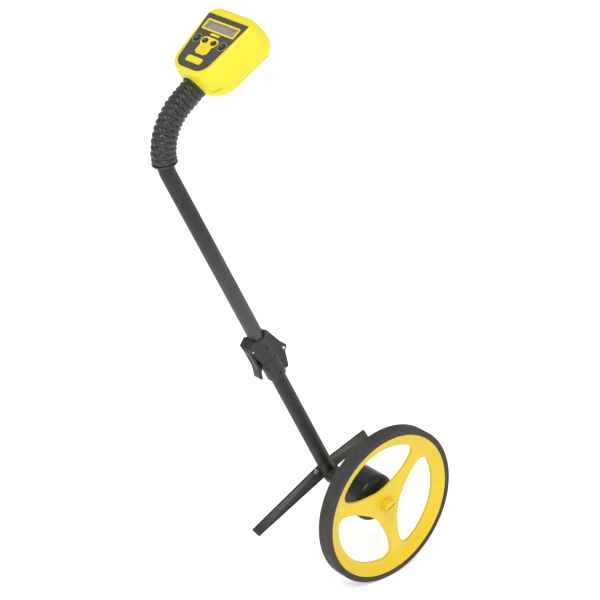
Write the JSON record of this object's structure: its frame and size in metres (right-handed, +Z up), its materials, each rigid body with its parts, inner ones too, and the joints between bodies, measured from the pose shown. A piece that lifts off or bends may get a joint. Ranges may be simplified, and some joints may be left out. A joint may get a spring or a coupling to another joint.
{
  "type": "measuring wheel",
  "caption": "Digital measuring wheel: spoked wheel on a counter drum, swinging stand, folding leaning tube with a lever latch, curved ribbed grip and a display head with keys.",
  "frame": {"origin": "on the ground, under the middle of the whole object's box", "axes": "+Z up, +X the way the wheel rolls forwards, +Y along the axle from the wheel's open face towards the handle"},
  "size_m": [0.5674, 0.2428, 1.146],
  "materials": {
    "tyre": "matt black rubber",
    "wheel_yellow": "satin moulded golden yellow plastic",
    "head_yellow": "fine textured moulded lemon yellow plastic",
    "gloss_black": "polished black plastic",
    "black_plastic": "satin moulded black plastic",
    "tube_black": "satin black painted tube",
    "stand_black": "matt black painted strip",
    "grip_rubber": "ribbed soft black grip rubber",
    "panel_grey": "fine textured dark grey film",
    "button_black": "smooth black key rubber",
    "steel": "bright zinc plated steel",
    "display": "grey brown display glass and carrier",
    "clear": "clear window",
    "board": "green circuit board",
    "cell": "plain grey battery sleeve",
    "brass": "plain brass"
  },
  "bodies": {
    "base": {"lower_tube": "tube_black", "tube_end_plug": "black_plastic", "drum_body": "gloss_black", "drum_cover": "black_plastic", "cover_screw_1": "steel", "cover_screw_2": "steel", "cover_screw_3": "steel", "front_bearing": "steel", "rear_bearing": "steel", "sensor_board": "board", "optical_fork": "black_plastic", "pivot_bolt": "steel", "pivot_washer": "steel", "lower_socket": "black_plastic", "lower_socket_screw": "steel", "fold_pin": "steel"},
    "wheel": {"tyre": "tyre", "wheel_rim": "wheel_yellow", "axle": "steel", "hub_washer": "steel", "hub_cap": "wheel_yellow", "encoder_disc": "black_plastic", "axle_collar": "steel"},
    "stand": {"stand_bar": "stand_black", "stand_bush": "brass", "stand_rivet": "steel"},
    "handle": {"upper_socket": "black_plastic", "upper_socket_screw": "steel", "latch_pin": "steel", "upper_tube": "tube_black", "grip": "grip_rubber", "head_shell": "head_yellow", "head_back": "head_yellow", "head_screw_1": "steel", "head_screw_2": "steel", "head_screw_3": "steel", "head_screw_4": "steel", "battery_tray": "black_plastic", "battery_cell_1": "cell", "battery_cell_2": "cell", "battery_contact_left": "brass", "battery_contact_right": "brass", "tube_clamp": "black_plastic", "panel_overlay": "panel_grey", "display_frame": "head_yellow", "display_lens": "clear", "display_module": "display", "main_board": "board", "name_plate": "head_yellow", "key_plate": "head_yellow"},
    "latch": {"latch_lever": "black_plastic"},
    "battery_door": {"battery_door": "head_yellow"},
    "key_power": {"key_power": "button_black"},
    "key_reset": {"key_reset": "button_black"},
    "key_store": {"key_store": "button_black"},
    "key_recall": {"key_recall": "button_black"}
  },
  "joints": [
    {"name": "wheel_spin", "type": "hinge", "parent": "base", "child": "wheel", "pos_m": [0.12456, -0.10425, 0.15915], "axis": [0, 1, 0], "continuous": true},
    {"name": "stand_swing", "type": "hinge", "parent": "base", "child": "stand", "pos_m": [0.12456, 0.05575, 0.15915], "axis": [0, 1, 0], "range_deg": [-33, 83]},
    {"name": "handle_fold", "type": "hinge", "parent": "base", "child": "handle", "pos_m": [-0.0092, 0.05575, 0.48505], "axis": [0, 1, 0], "range_deg": [0, 180]},
    {"name": "latch_release", "type": "hinge", "parent": "handle", "child": "latch", "pos_m": [-0.07954, 0.05575, 0.49612], "axis": [0, 1, 0], "range_deg": [0, 60]},
    {"name": "battery_door_slide", "type": "slide", "parent": "handle", "child": "battery_door", "axis": [0.5835, 0, -0.8121], "range_m": [0, 0.03]},
    {"name": "key_power_press", "type": "slide", "parent": "handle", "child": "key_power", "axis": [0.5835, 0, -0.8121], "range_m": [0, 0.001], "stiffness_N_per_m": 400, "springref_m": -0.0003},
    {"name": "key_reset_press", "type": "slide", "parent": "handle", "child": "key_reset", "axis": [0.5835, 0, -0.8121], "range_m": [0, 0.001], "stiffness_N_per_m": 400, "springref_m": -0.0003},
    {"name": "key_store_press", "type": "slide", "parent": "handle", "child": "key_store", "axis": [0.5835, 0, -0.8121], "range_m": [0, 0.001], "stiffness_N_per_m": 400, "springref_m": -0.0003},
    {"name": "key_recall_press", "type": "slide", "parent": "handle", "child": "key_recall", "axis": [0.5835, 0, -0.8121], "range_m": [0, 0.001], "stiffness_N_per_m": 400, "springref_m": -0.0003}
  ]
}
